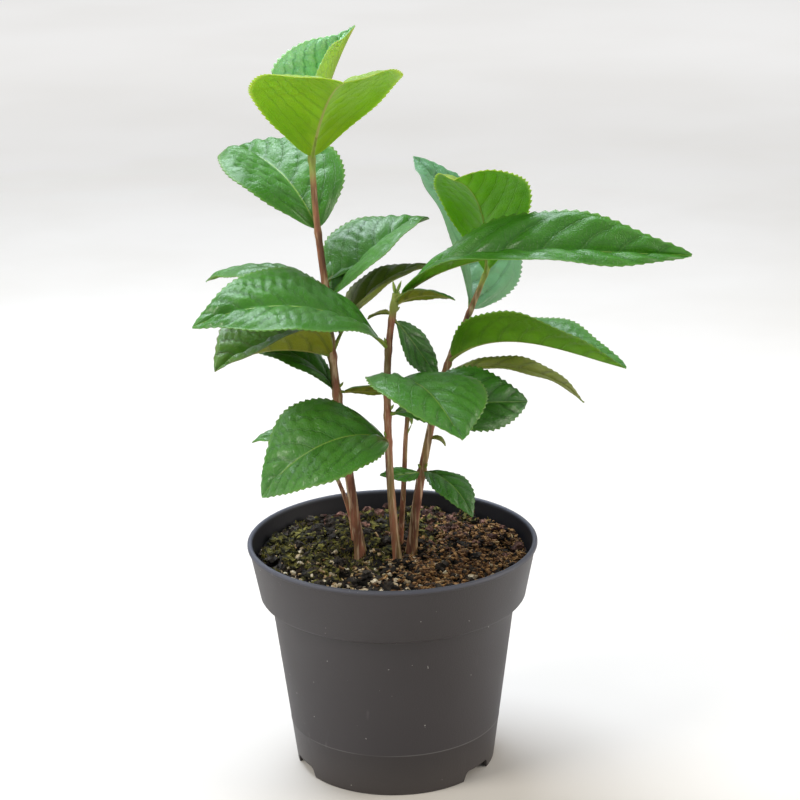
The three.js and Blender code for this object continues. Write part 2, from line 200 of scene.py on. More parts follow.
leafLooks = {
    "mature": leafLook(upperFace, "4f8c32 28621a 689c42 92b454 7ea440"),
    "glossy": leafLook(upperFace, "468624 245e12 5c9234 98bc58 7eac46"),
    "backlit": leafLook(upperFace, "9cd496 559c5c 3f8c4a c8e060 9cd48c", coat=0.26, glow=0.2),
    "misty": leafLook(upperFace, "6aa070 3c7444 558c5a 94b47c 86b084", rough=0.36),
    "dark": leafLook(upperFace, "3c7622 1c460e 487c2c 729644 608a30", coat=0.22, glow=0.05),
    "worn": leafLook(upperFace, "54802c 345a22 746838 908e48 7a623a", rough=0.38, coat=0.16, glow=0.06),
    "olive": leafLook(upperFace, "7c8434 545e22 6a6a32 8e8c48 7a7834", rough=0.42, coat=0.12, glow=0.06),
    "bright": leafLook(
        upperFace, "86a800 5c8400 98b41c b8c070 bcd03a", rough=0.42, coat=0.14, glow=0.25, ribWidth=0.1,
    ),
    "brightUnder": leafLook(
        underFace, "8cb200 648a00 98b81c b4a86a cad83c", rough=0.55, coat=0.03, glow=0.25, ribWidth=0.1,
    ),
    "limeUnder": leafLook(underFace, "629c00 467c00 7aa81a a0b050 a8c830", coat=0.05, glow=0.2),
    "freshUnder": leafLook(underFace, "5f8e0c 406804 729a22 a4ac54 88a438", coat=0.08, glow=0.15),
    "paleUnder": leafLook(underFace, "6c9034 4e7022 80a04c 9eac60 8a9c46"),
    "oliveUnder": leafLook(underFace, "868a20 585e18 8c8e3c a49c58 887840"),
}
veinLook = {"width": 0.05, "netScale": 640, "depth": 0.0003, "raised": 0.7, "netRaised": 0.35}
# How strongly each part of a blade's pattern shows. The share for the creases beside the side veins
# sets their painted shade.
leafShares = {
    "patches": 0.45, "foldShade": 0.65, "specks": 0.16, "net": 0.14, "veins": 0.4, "rib": 0.85, "edge": 0.45,
}


def makeLeafMaterial(name, look):
    material, tree, surface = newMaterial("leaf_" + name)
    sockets = {
        "Rib Width": look["ribWidth"], "Vein Width": veinLook["width"], "Net Scale": veinLook["netScale"],
    }
    veins = placeGroup(tree, leafVeins, sockets)
    patch = addBlotches(tree, 55, 0.35, 0.7)
    speck = addBlotches(tree, 420, 0.3, 0.75, detail=2)
    patches = reckon(tree, "MULTIPLY", patch["Mask"], leafShares["patches"])
    # Painted shade: the deep colour is laid in the creases beside the side veins, and in random patches.
    foldShade = reckon(tree, "MULTIPLY", veins["VeinShade"], leafShares["foldShade"])
    shaded = reckon(tree, "MAXIMUM", patches, foldShade)
    colour = mixPaint(tree, shaded, paint(look["blade"]), paint(look["deep"]))
    colour = cover(tree, colour, speck["Mask"], leafShares["specks"], look["vein"])
    colour = cover(tree, colour, veins["Net"], leafShares["net"], look["deep"])
    colour = cover(tree, colour, veins["Veins"], leafShares["veins"], look["vein"])
    colour = cover(tree, colour, veins["Rib"], leafShares["rib"], look["rib"])
    colour = cover(tree, colour, veins["Edge"], leafShares["edge"], look["edge"])
    height = reckon(tree, "MULTIPLY", veins["Veins"], veinLook["raised"] * look["rise"])
    height = reckon(tree, "MULTIPLY_ADD", veins["Net"], veinLook["netRaised"] * look["rise"], height)
    height = reckon(tree, "MULTIPLY_ADD", speck["Fine"], 0.2, height)
    rough = (look["rough"] - 0.06, look["rough"] + 0.1)
    dress(tree, surface, colour, speck["Fine"], rough, height, 0.7, veinLook["depth"])
    surface["Coat Weight"].default_value = look["coat"]
    surface["Coat Roughness"].default_value = 0.22
    surface["Specular IOR Level"].default_value = 0.4
    surface["Subsurface Weight"].default_value = look["glow"]
    surface["Subsurface Radius"].default_value = (0.5, 1.0, 0.15)
    surface["Subsurface Scale"].default_value = 0.002
    return material


leafMaterials = {name: makeLeafMaterial(name, look) for name, look in leafLooks.items()}


# Bark: reddish brown with pale lengthwise streaks, green towards the tip. barkMap holds the turn round
# the stem and the share of its height.
barkLook = {
    "brown": "a86c50", "dark": "6a4030", "streak": "dcc09c", "green": "7c8438", "young": "98ac50",
    "moss": "8a8048", "greenFrom": 0.86, "greenTo": 0.99, "rough": (0.5, 0.8), "depth": 0.00025,
}


def makeBarkMaterial():
    material, tree, surface = newMaterial("bark")
    barkMap = addNode(tree, "UVMap", uv_map="barkMap").outputs[0]
    share = addNode(tree, "SeparateXYZ", {0: barkMap}).outputs[1]
    streaks = addBlotches(tree, 900, 0.5, 0.68, 0.09, 5)
    patches = addBlotches(tree, 260, 0.35, 0.65, 0.25)
    grain = addBlotches(tree, 2200, 0.3, 0.7, 0.3)
    bands = addBlotches(tree, 420, 0.46, 0.66, 0.06)
    colour = mixPaint(tree, patches["Mask"], paint(barkLook["brown"]), paint(barkLook["dark"]))
    colour = cover(tree, colour, bands["Mask"], 0.6, barkLook["moss"])
    colour = cover(tree, colour, streaks["Mask"], 0.7, barkLook["streak"])
    greener = fade(tree, share, barkLook["greenFrom"], barkLook["greenTo"])
    greener = reckon(tree, "MULTIPLY_ADD", patches["Fine"], 0.5, reckon(tree, "SUBTRACT", greener, 0.25))
    young = mixPaint(tree, patches["Mask"], paint(barkLook["young"]), paint(barkLook["green"]))
    colour = mixPaint(tree, fade(tree, greener, 0.2, 0.9), colour, young)
    height = reckon(tree, "MULTIPLY_ADD", grain["Fine"], 0.4, streaks["Fine"])
    dress(tree, surface, colour, grain["Fine"], barkLook["rough"], height, 0.8, barkLook["depth"])
    return material


# A plain two-tone finish with grain and relief, for stalks, buds, moss and the grains of the soil. shade
# lays painted shade, in the deep colour, on the faces that don't look up.
def makeGrainMaterial(name, light, deep, scale, rough=0.7, relief=0.0002, stretch=1.0, glow=0.0, shade=0.0):
    material, tree, surface = newMaterial(name)
    patch = addBlotches(tree, scale, 0.35, 0.65, stretch)
    grain = addBlotches(tree, scale * 6, 0.3, 0.7, stretch)
    facing = addNode(tree, "NewGeometry").outputs["True Normal"]
    facing = addNode(tree, "SeparateXYZ", {0: facing}).outputs[2]
    colour = mixPaint(tree, patch["Mask"], paint(light), paint(deep))
    colour = cover(tree, colour, grain["Mask"], 0.35, deep)
    # Painted shade: faces that don't look up are mixed towards the deep colour, by the share shade.
    colour = cover(tree, colour, fade(tree, facing, 0.9, 0.05), shade, deep)
    dress(tree, surface, colour, grain["Fine"], (rough - 0.1, rough + 0.12), grain["Fine"], 0.8, relief)
    surface["Subsurface Weight"].default_value = glow
    surface["Subsurface Scale"].default_value = 0.002
    return material


# The pot's plastic: satin charcoal with fine pits, pale specks, upright scuffs and dust by the foot, with
# painted shade on its inner wall and a painted bluish highlight along its lip.
plasticLook = {
    "charcoal": "363234", "worn": "423e40", "inside": "1e1e26", "lip": "5c606e", "scuff": "7a7776",
    "dust": "5a5450", "speck": "b9b5ae", "dustHeight": 0.022, "seamHeight": 0.0188,
    "seamWidths": (0.00032, 0.0001), "lipHighlightHeights": (0.0951, 0.0966), "rough": (0.46, 0.6), "depth": 0.0002,
}


def makePlasticMaterial():
    material, tree, surface = newMaterial("pot_plastic")
    place = addNode(tree, "TexCoord").outputs["Object"]
    height = addNode(tree, "SeparateXYZ", {0: place}).outputs[2]
    outwards = addNode(tree, "VectorMath", {0: place, 1: (1, 1, 0)}, operation="MULTIPLY").outputs[0]
    outwards = addNode(tree, "VectorMath", {0: outwards}, operation="NORMALIZE").outputs[0]
    facing = addNode(tree, "NewGeometry").outputs["True Normal"]
    facing = addNode(tree, "VectorMath", {0: outwards, 1: facing}, operation="DOT_PRODUCT").outputs["Value"]
    clouds = addBlotches(tree, 18, 0.3, 0.75)
    scuffs = addBlotches(tree, 240, 0.66, 0.76, 0.14, 3)
    where = addBlotches(tree, 38, 0.5, 0.62)
    specks = addBlotches(tree, 620, 0.79, 0.82, detail=1)
    pits = addBlotches(tree, 1500, 0.3, 0.7, detail=2)
    scuffed = reckon(tree, "MULTIPLY", scuffs["Mask"], where["Mask"])
    offSeam = reckon(tree, "ABSOLUTE", reckon(tree, "SUBTRACT", height, plasticLook["seamHeight"]))
    brokenLine = fade(tree, clouds["Fine"], 0.38, 0.6)
    seam = reckon(tree, "MULTIPLY", fade(tree, offSeam, *plasticLook["seamWidths"]), brokenLine)
    colour = cover(tree, paint(plasticLook["charcoal"]), clouds["Mask"], 0.5, plasticLook["worn"])
    colour = cover(tree, colour, fade(tree, height, plasticLook["dustHeight"], 0), 0.35, plasticLook["dust"])
    colour = cover(tree, colour, scuffed, 0.5, plasticLook["scuff"])
    colour = cover(tree, colour, specks["Mask"], 0.6, plasticLook["speck"])
    colour = cover(tree, colour, seam, 0.5, plasticLook["scuff"])
    # Painted shade: faces turned towards the pot's middle take the dark inside colour.
    colour = cover(tree, colour, fade(tree, facing, -0.2, -0.6), 1, plasticLook["inside"])
    # Painted highlight: a bluish band round the top of the lip.
    colour = cover(tree, colour, fade(tree, height, *plasticLook["lipHighlightHeights"]), 0.6, plasticLook["lip"])
    relief = reckon(tree, "MULTIPLY_ADD", scuffed, 0.6, pits["Fine"])
    dress(
        tree, surface, colour, clouds["Fine"], plasticLook["rough"], relief, 0.35, plasticLook["depth"],
        span=(0.25, 0.75),
    )
    return material


barkMaterial = makeBarkMaterial()
stalkMaterial = makeGrainMaterial("stalk", "8fa23e", "6d7a2a", 180, 0.5, 0.0001, 0.4, 0.1)
budMaterial = makeGrainMaterial("bud", "9db24a", "76903a", 260, 0.5, 0.0001, 1.0, 0.1)
plasticMaterial = makePlasticMaterial()
soilMaterials = {
    "bed": makeGrainMaterial("peat", "1a130d", "0c0805", 240, 0.95, 0.0008, shade=0.6),
    "crumb": makeGrainMaterial("peat_crumb", "46362a", "0e0a06", 330, 0.9, 0.0004, shade=0.8),
    "lump": makeGrainMaterial("peat_lump", "40362c", "100c08", 260, 0.8, 0.0004, shade=0.85),
    "clod": makeGrainMaterial("brown_clod", "a07464", "381f1a", 240, 0.95, 0.0005, shade=0.8),
    "husk": makeGrainMaterial("golden_husk", "cc9c62", "4c2f18", 420, 0.95, 0.0004, shade=0.7),
    "chip": makeGrainMaterial("bark_chip", "b8885a", "442c18", 420, 0.85, 0.0002, 0.5, shade=0.7),
    "straw": makeGrainMaterial("straw_chip", "e0c490", "725434", 420, 0.85, 0.0002, 0.5, shade=0.6),
    "grain": makeGrainMaterial("pale_grain", "fbf2dc", "b8a27e", 500, 0.8, 0.0003, shade=0.5),
    "moss": makeGrainMaterial("moss", "868034", "15160a", 420, 0.9, 0.0003, shade=0.9),
    "mossTip": makeGrainMaterial("moss_tip", "b0a446", "34380f", 300, 0.9, 0.0003, shade=0.5),
}
print("materials made")


def finishPiece(name, bm, materials, nodes=(), sharp=None):
    bmesh.ops.scale(bm, vec=(toMetres,) * 3, verts=bm.verts)
    mesh = bpy.data.meshes.new(name)
    bm.to_mesh(mesh)
    bm.free()
    for material in materials:
        mesh.materials.append(material)
    mesh.polygons.foreach_set("use_smooth", [True] * len(mesh.polygons))
    if sharp is not None:
        mesh.set_sharp_from_angle(angle=math.radians(sharp))
    piece = addObject(name, mesh)
    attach(piece, "root")
    if nodes:
        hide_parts(*nodes)


# A closed rod of radius 1 along Z from 0 to 1, cut into rings.
def makeRod(sides, rings):
    bm = bmesh.new()
    bmesh.ops.create_cone(bm, cap_ends=True, segments=sides, radius1=1, radius2=1, depth=1)
    upright = [edge for edge in bm.edges if abs(edge.verts[0].co.z - edge.verts[1].co.z) > 0.5]
    bmesh.ops.subdivide_edges(bm, edges=upright, cuts=rings - 1, use_grid_fill=True)
    bmesh.ops.translate(bm, vec=(0, 0, 0.5), verts=bm.verts)
    return bm


def smoothStep(low, high, value):
    share = min(1, max(0, (value - low) / (high - low)))
    return share * share * (3 - 2 * share)


# The pot: a tapering wall under a wider collar, with a rolled lip.
pot = {
    "height": 97, "rimRadius": 60, "collarTop": 59.2, "collarFoot": 55.2, "collarFootHeight": 73.5,
    "bodyTop": 50.6, "bodyTopHeight": 71, "footRadius": 41.7, "wall": 1.3, "floorHeight": 5,
    "hubRadius": 20, "lipDepth": 2.2, "segments": 160, "edgeRounding": 0.35, "seamHeight": 18.8,
    "seamWidth": 0.5, "seamProud": 0.16,
}
footNotches = {
    "angles": (-155, -36, 85), "width": 20, "height": 4.4, "narrowing": 0.72, "depth": 16, "rounding": 1.4,
}
drainHoles = {"count": 6, "radius": 3.2, "ring": 31, "depth": 8}


def potProfile():
    top, wall, foot, hub = pot["height"], pot["wall"], pot["footRadius"], pot["hubRadius"]
    floor, lip, rim = pot["floorHeight"], pot["lipDepth"], pot["rimRadius"]
    collarTop, collarFoot, collarLow = pot["collarTop"], pot["collarFoot"], pot["collarFootHeight"]
    body, bodyHigh = pot["bodyTop"], pot["bodyTopHeight"]
    seam = []
    for step, proud in ((-1, 0), (0, pot["seamProud"]), (1, 0)):
        z = pot["seamHeight"] + step * pot["seamWidth"]
        seam.append((foot + (body - foot) * z / bodyHigh + proud, z))
    return [
        (0, 0), (hub, 0), (hub + 1.5, floor), (foot - wall - 0.6, floor), (foot - wall, 0), (foot, 0),
        *seam,
        (body, bodyHigh), (body + 1, bodyHigh + 0.9), (collarFoot - 0.6, collarLow - 0.3),
        (collarFoot, collarLow + 0.6), (collarTop, top - lip), (rim, top - lip + 0.3), (rim, top - 0.7),
        (rim - 0.7, top), (rim - 1.5, top), (rim - 2.1, top - 0.6), (collarTop - wall, top - lip),
        (collarFoot - wall, collarLow + 1.6), (body - wall, bodyHigh + 0.9), (foot - wall + 1, floor + wall),
        (hub + 0.6, floor + wall), (hub - 0.9, wall), (0, wall),
    ]


def spinProfile(profile, segments):
    bm = bmesh.new()
    points = [bm.verts.new((radius, 0, height)) for radius, height in profile]
    lines = [bm.edges.new(pair) for pair in zip(points, points[1:])]
    bmesh.ops.spin(
        bm, geom=points + lines, cent=(0, 0, 0), axis=(0, 0, 1), angle=math.tau, steps=segments,
        use_merge=True,
    )
    bmesh.ops.remove_doubles(bm, verts=bm.verts, dist=0.001)
    bmesh.ops.recalc_face_normals(bm, faces=bm.faces)
    return bm


# Cuts one shape out of another with a Boolean modifier, which is applied at once.
def cutAway(bm, cutter):
    shapes = []
    for name, shape in (("kept", bm), ("cutter", cutter)):
        mesh = bpy.data.meshes.new(name)
        shape.to_mesh(mesh)
        shape.free()
        shapes.append(addObject(name, mesh))
    modifier = shapes[0].modifiers.new("cut", "BOOLEAN")
    modifier.object = shapes[1]
    modifier.solver = "EXACT"
    shown = shapes[0].evaluated_get(bpy.context.evaluated_depsgraph_get())
    result = bmesh.new()
    result.from_mesh(shown.to_mesh())
    for shape in shapes:
        bpy.data.objects.remove(shape)
    return result


def makePot():
    bm = spinProfile(potProfile(), pot["segments"])
    corners = [edge for edge in bm.edges if edge.is_manifold and edge.calc_face_angle() > math.radians(24)]
    bmesh.ops.bevel(
        bm, geom=corners, offset=pot["edgeRounding"], affect="EDGES", segments=3, profile=0.5,
        clamp_overlap=True, material=-1,
    )
    cutter = bmesh.new()
    for angle in footNotches["angles"]:
        turn = Matrix.Rotation(math.radians(angle), 4, "Z") @ Matrix.Translation((pot["footRadius"], 0, 0))
        sizes = Matrix.Diagonal((footNotches["depth"], footNotches["width"], footNotches["height"] * 2, 1))
        made = bmesh.ops.create_cube(cutter, size=1, matrix=sizes)["verts"]
        for vert in made:
            vert.co.y *= footNotches["narrowing"] if vert.co.z > 0 else 1
        corners = dict.fromkeys(edge for vert in made for edge in vert.link_edges)
        corners = [edge for edge in corners if min(vert.co.z for vert in edge.verts) > 0]
        corners = [edge for edge in corners if abs(edge.verts[0].co.x - edge.verts[1].co.x) > 1]
        bmesh.ops.transform(cutter, matrix=turn, verts=made)
        bmesh.ops.bevel(
            cutter, geom=corners, offset=footNotches["rounding"], affect="EDGES", segments=4, profile=0.5,
            material=-1,
        )
    for index in range(drainHoles["count"]):
        turn = Matrix.Rotation(index * math.tau / drainHoles["count"], 4, "Z")
        place = turn @ Matrix.Translation((drainHoles["ring"], 0, pot["floorHeight"]))
        radius = drainHoles["radius"]
        bmesh.ops.create_cone(
            cutter, cap_ends=True, segments=24, radius1=radius, radius2=radius, depth=drainHoles["depth"],
            matrix=place,
        )
    finishPiece("pot_shell", cutAway(bm, cutter), [plasticMaterial], ["pot"], sharp=35)


makePot()
print("pot made")

# The soil: a bed with lumps, and crumbs, clods, chips, pale grains and moss lying on it. gap is how far
# the bed stays inside the pot's outer face.
soil = {
    "level": 90, "edgeDrop": 2.2, "roughness": 1.1, "flatRadius": 24, "flatEdge": 14, "clearance": 0.3,
    "rings": 40, "segments": 120, "lumps": 3.8, "lumpEdge": 4,
}
soil["gap"] = pot["wall"] + soil["clearance"] + 0.15


def soilEdge():
    share = (soil["level"] - pot["collarFootHeight"]) / (pot["height"] - pot["collarFootHeight"])
    return pot["collarFoot"] + (pot["collarTop"] - pot["collarFoot"]) * share - soil["gap"]


def soilHeight(x, y):
    radius = math.hypot(x, y)
    broad = math.sin(x * 0.31 + 1.7) * math.sin(y * 0.27 - 0.6) + 0.5 * math.sin(x * 0.7 + y * 0.53)
    grade = soil["level"] - soil["edgeDrop"] * (radius / pot["rimRadius"]) ** 4
    grade += soil["roughness"] * min(1, max(0, (radius - soil["flatRadius"]) / soil["flatEdge"])) * broad
    lumps = noise.noise(Vector((x, y, 3)) * 0.16) + 0.5 * noise.noise(Vector((x, y, 9)) * 0.42)
    return grade + soil["lumps"] * lumps * smoothStep(soilEdge(), soilEdge() - soil["lumpEdge"], radius)


def makeSoilBed():
    gap, hubTop = soil["gap"], pot["wall"] + soil["clearance"]
    floorTop = pot["floorHeight"] + hubTop
    edge = soilEdge()
    profile = [
        (0, hubTop),
        (pot["hubRadius"] - 1.4, hubTop),
        (pot["hubRadius"] + 0.3, floorTop),
        (pot["footRadius"] + 0.6 - gap, floorTop),
        (pot["bodyTop"] - gap, pot["bodyTopHeight"] + 0.9),
        (pot["collarFoot"] - gap, pot["collarFootHeight"] + 2.2),
        *[(edge * ring / soil["rings"], soil["level"]) for ring in range(soil["rings"], -1, -1)],
    ]
    bm = spinProfile(profile, soil["segments"])
    for vert in bm.verts:
        if vert.co.z > soil["level"] - 1:
            vert.co.z = soilHeight(vert.co.x, vert.co.y)
    finishPiece("soil_bed", bm, [soilMaterials["bed"]], ["soil"])


# What lies on the soil. lean is the direction in degrees where it gathers and gather how strongly, size
# the radius, flat how flattened it is and rough how deep its dents are.
litter = {
    "crumb": {
        "count": 3600, "size": (0.5, 1.7), "flat": 0.8, "rough": 0.3, "cuts": 1, "lean": 0, "gather": 0,
        "seed": 3,
    },
    "lump": {
        "count": 190, "size": (1.2, 2.8), "flat": 0.8, "rough": 0.5, "cuts": 2, "lean": 200, "gather": 0.4,
        "seed": 9,
    },
    "clod": {
        "count": 90, "size": (1.2, 2.9), "flat": 0.85, "rough": 0.36, "cuts": 2, "lean": 52, "gather": 1.6,
        "seed": 4,
    },
    "grain": {
        "count": 330, "size": (0.6, 1.9), "flat": 0.8, "rough": 0.34, "cuts": 1, "lean": 250, "gather": 1.1,
        "seed": 5,
    },
    "moss": {
        "count": 340, "size": (1.0, 2.9), "flat": 0.75, "rough": 0.55, "cuts": 2, "lean": 135,
        "gather": 0.95, "seed": 6,
    },
}
chips = {
    "husk": {
        "count": 2300, "sides": ((0.6, 2.5), (0.4, 1.3), (0.3, 0.8)), "lean": 345, "gather": 1.9, "seed": 12,
    },
    "chip": {
        "count": 420, "sides": ((1.4, 4.4), (0.5, 1.4), (0.3, 0.7)), "lean": 330, "gather": 0.8, "seed": 7,
    },
    "straw": {
        "count": 420, "sides": ((1.2, 3.4), (0.4, 1.1), (0.3, 0.7)), "lean": 290, "gather": 0.6, "seed": 10,
    },
}
mossShoots = {
    "count": 11000, "height": (0.6, 1.7), "radius": 0.18, "tip": 0.05, "lean": 135, "gather": 0.95,
    "seed": 8,
}


# A spot on the soil, its own reach away from the pot's wall and likelier where its kind gathers.
def litterSpot(draw, look, reach):
    edge = soilEdge() - reach
    while True:
        radius, turn = edge * math.sqrt(draw.random()), draw.uniform(0, math.tau)
        off = math.cos(turn - math.radians(look["lean"])) * radius / edge
        if draw.random() < 0.5 + look["gather"] * (0.85 * off - 0.25):
            return radius * math.cos(turn), radius * math.sin(turn)


def randomTurn(draw, axis, spread):
    turn = Matrix.Rotation(draw.uniform(0, math.tau), 4, "Z")
    return turn @ Matrix.Rotation(draw.gauss(0, spread), 4, axis)


def onSoil(x, y, lift):
    return Matrix.Translation((x, y, soilHeight(x, y) + lift))


# Many copies of a small closed shape, each with its own place and its own dents, in one mesh.
def strew(name, shape, places, rough, material, seed):
    shape.verts.ensure_lookup_table()
    points = numpy.array([vert.co[:] for vert in shape.verts])
    faces = numpy.array([[vert.index for vert in face.verts] for face in shape.faces])
    shape.free()
    dents = 1 + rough * numpy.random.default_rng(seed).uniform(-1, 1, (len(places), len(points), 1))
    matrices = numpy.array(places)
    moved = numpy.einsum("nij,nkj->nki", matrices[:, :3, :3], points * dents) + matrices[:, None, :3, 3]
    joined = (faces + len(points) * numpy.arange(len(places))[:, None, None]).reshape(-1, faces.shape[1])
    mesh = bpy.data.meshes.new(name)
    mesh.from_pydata(moved.reshape(-1, 3).tolist(), [], joined.tolist())
    bm = bmesh.new()
    bm.from_mesh(mesh)
    bpy.data.meshes.remove(mesh)
    finishPiece(name, bm, [material], sharp=28)


def makePebble(cuts):
    pebble = bmesh.new()
    bmesh.ops.create_cube(pebble, size=1)
    bmesh.ops.subdivide_edges(pebble, edges=pebble.edges[:], cuts=cuts, use_grid_fill=True)
    for vert in pebble.verts:
        vert.co.normalize()
    return pebble


def makeLitter(kind, look):
    draw = random.Random(look["seed"])
    places = []
    for _ in range(look["count"]):
        size = draw.uniform(*look["size"]) * draw.uniform(0.7, 1)
        spot = litterSpot(draw, look, size * 1.4)
        turn = Quaternion([draw.gauss(0, 1) for _ in range(4)]).normalized().to_matrix().to_4x4()
        sizes = Matrix.Diagonal((size, size * draw.uniform(0.7, 1.1), size * look["flat"], 1))
        places.append(onSoil(*spot, size * draw.uniform(0.05, 0.5)) @ sizes @ turn)
    strew("soil_" + kind, makePebble(look["cuts"]), places, look["rough"], soilMaterials[kind], look["seed"])


def makeChips(kind, look):
    draw = random.Random(look["seed"])
    places = []
    for _ in range(look["count"]):
        sizes = Matrix.Diagonal([*(draw.uniform(*side) for side in look["sides"]), 1])
        spot = litterSpot(draw, look, sizes[0][0] * 0.6)
        turn = randomTurn(draw, "Y", 0.35)
        places.append(onSoil(*spot, draw.uniform(0.5, 1.3)) @ turn @ sizes)
    chip = bmesh.new()
    bmesh.ops.create_cube(chip, size=1)
    strew("soil_" + kind, chip, places, 0.25, soilMaterials[kind], look["seed"])


# Moss shoots: three-sided spikes where the moss grows.
def makeMossShoots():
    draw = random.Random(mossShoots["seed"])
    places = []
    for _ in range(mossShoots["count"]):
        spot = litterSpot(draw, mossShoots, 2)
        tall = draw.uniform(*mossShoots["height"])
        if noise.noise(Vector((*spot, 20)) * 0.13) < 0.02:
            continue
        turn = randomTurn(draw, "X", 0.5)
        places.append(onSoil(*spot, draw.uniform(0.7, 2)) @ turn @ Matrix.Diagonal((1, 1, tall, 1)))
    shoot = bmesh.new()
    bmesh.ops.create_cone(
        shoot, cap_ends=True, segments=3, radius1=mossShoots["radius"], radius2=mossShoots["tip"], depth=1
    )
    bmesh.ops.triangulate(shoot, faces=shoot.faces[:])
    strew("soil_moss_shoots", shoot, places, 0.1, soilMaterials["mossTip"], mossShoots["seed"])


makeSoilBed()
for kind, look in litter.items():
    makeLitter(kind, look)
for kind, look in chips.items():
    makeChips(kind, look)
makeMossShoots()
print("soil made")

# Stems: points that the middle of each stem passes through, its radius at the soil and at the top, and
# how far it swells at the soil.
stems = {
    "left": {
        "path": (
            (-13, -3, 90), (-17.5, -4, 128), (-22, -2.5, 166), (-25.2, 0, 205), (-28, 1, 232),
            (-29.3, 1, 260),
        ),
        "foot": 2.1, "top": 1.15, "flare": 0.8,
    },
    "leftThin": {
        "path": ((-15.5, 6, 90), (-17.5, 5, 106), (-22.5, 6, 121), (-31, 8, 137)),
        "foot": 1.1, "top": 0.8, "flare": 0.4,
    },
    "middle": {
        "path": ((2.5, -16, 90), (0.5, -16.5, 112), (-0.9, -15.5, 145), (-0.4, -13.5, 180), (3, -12, 204)),
        "foot": 1.7, "top": 1.3, "flare": 0.6,
    },
    "middleThin": {
        "path": ((3, 7.5, 90), (4.6, 2, 112), (5.6, -1, 130), (6.2, -2, 142), (8.4, -2, 160)),
        "foot": 1.2, "top": 0.8, "flare": 0.4,
    },
    "right": {
        "path": (
            (7.8, 1.5, 90), (10.5, 0, 113), (16.5, 0, 145), (23.5, 0, 171), (32.5, 2, 192), (40.5, 4, 211),
        ),
        "foot": 2, "top": 1.05, "flare": 0.7,
    },
}
flareHeight = 5


# A cubic curve from one place to the next, with the directions in which it leaves and arrives.
def cubic(second, third, leave, reach, at):
    bend = third * 3 - second * 3 - leave * 2 - reach
    return second + leave * at + bend * at**2 + (second * 2 - third * 2 + leave + reach) * at**3


# A smooth curve through a stem's points, with its speed even by the square root of their distance.
def curvePoint(path, share):
    points = [Vector(point) for point in path]
    place = share * (len(points) - 1)
    index = min(int(place), len(points) - 2)
    second, third = points[index], points[index + 1]
    first = points[index - 1] if index > 0 else second * 2 - third
    fourth = points[index + 2] if index + 2 < len(points) else third * 2 - second
    before, span, after = [
        math.sqrt((b - a).length) for a, b in ((first, second), (second, third), (third, fourth))
    ]
    leave = ((second - first) / before - (third - first) / (before + span) + (third - second) / span) * span
    reach = ((third - second) / span - (fourth - second) / (span + after) + (fourth - third) / after) * span
    return cubic(second, third, leave, reach, place - index)


def stemAxis(stem, height):
    low, high = 0.0, 1.0
    for _ in range(26):
        middle = (low + high) / 2
        if curvePoint(stem["path"], middle).z < height:
            low = middle
        else:
            high = middle
    return curvePoint(stem["path"], low)


def stemRadius(stem, height):
    share = (height - soil["level"]) / (stem["path"][-1][2] - soil["level"])
    flare = stem["flare"] * math.exp(-(height - soil["level"]) / flareHeight)
    return stem["foot"] + (stem["top"] - stem["foot"]) * share + flare


# Leaves. Angles are in degrees: azimuth 0 points right, 90 to the back, 270 to the front. rise lifts the
# root of the blade, arch bends its tip down, fold lifts both halves, roll and twist turn it about its
# rib, sway bends it sideways, taper narrows it to its tip, and a higher belly moves its widest part
# towards the tip. upper and under name its two looks.
leafDefaults = {
    "azimuth": 0, "rise": 30, "length": 70, "width": 40, "arch": 50, "fold": 14, "roll": 0, "twist": 0,
    "sway": 0, "curl": 0, "stalk": 3, "upper": "mature", "under": "paleUnder", "quilt": 1, "bite": None,
    "taper": 0, "belly": 0.95, "veinGap": 9.2, "toothPitch": 2.4,
}
blade = {
    "cup": 0.1, "ribStations": 8, "columns": 12, "thickness": 0.42, "edgeThickness": 0.3,
    "toothDepth": 0.95, "toothSteps": (-0.45, 0.1, 0.6), "quiltHeight": 0.075, "wave": 0.006, "waves": 3.1,
    "groove": 0.35, "grooveWidth": 0.55, "keel": 0.75, "keelWidth": 0.65,
    "veinShift": 0.45,  # the side veins of one half start between those of the other
}


def leaf(**given):
    return {**leafDefaults, **given}


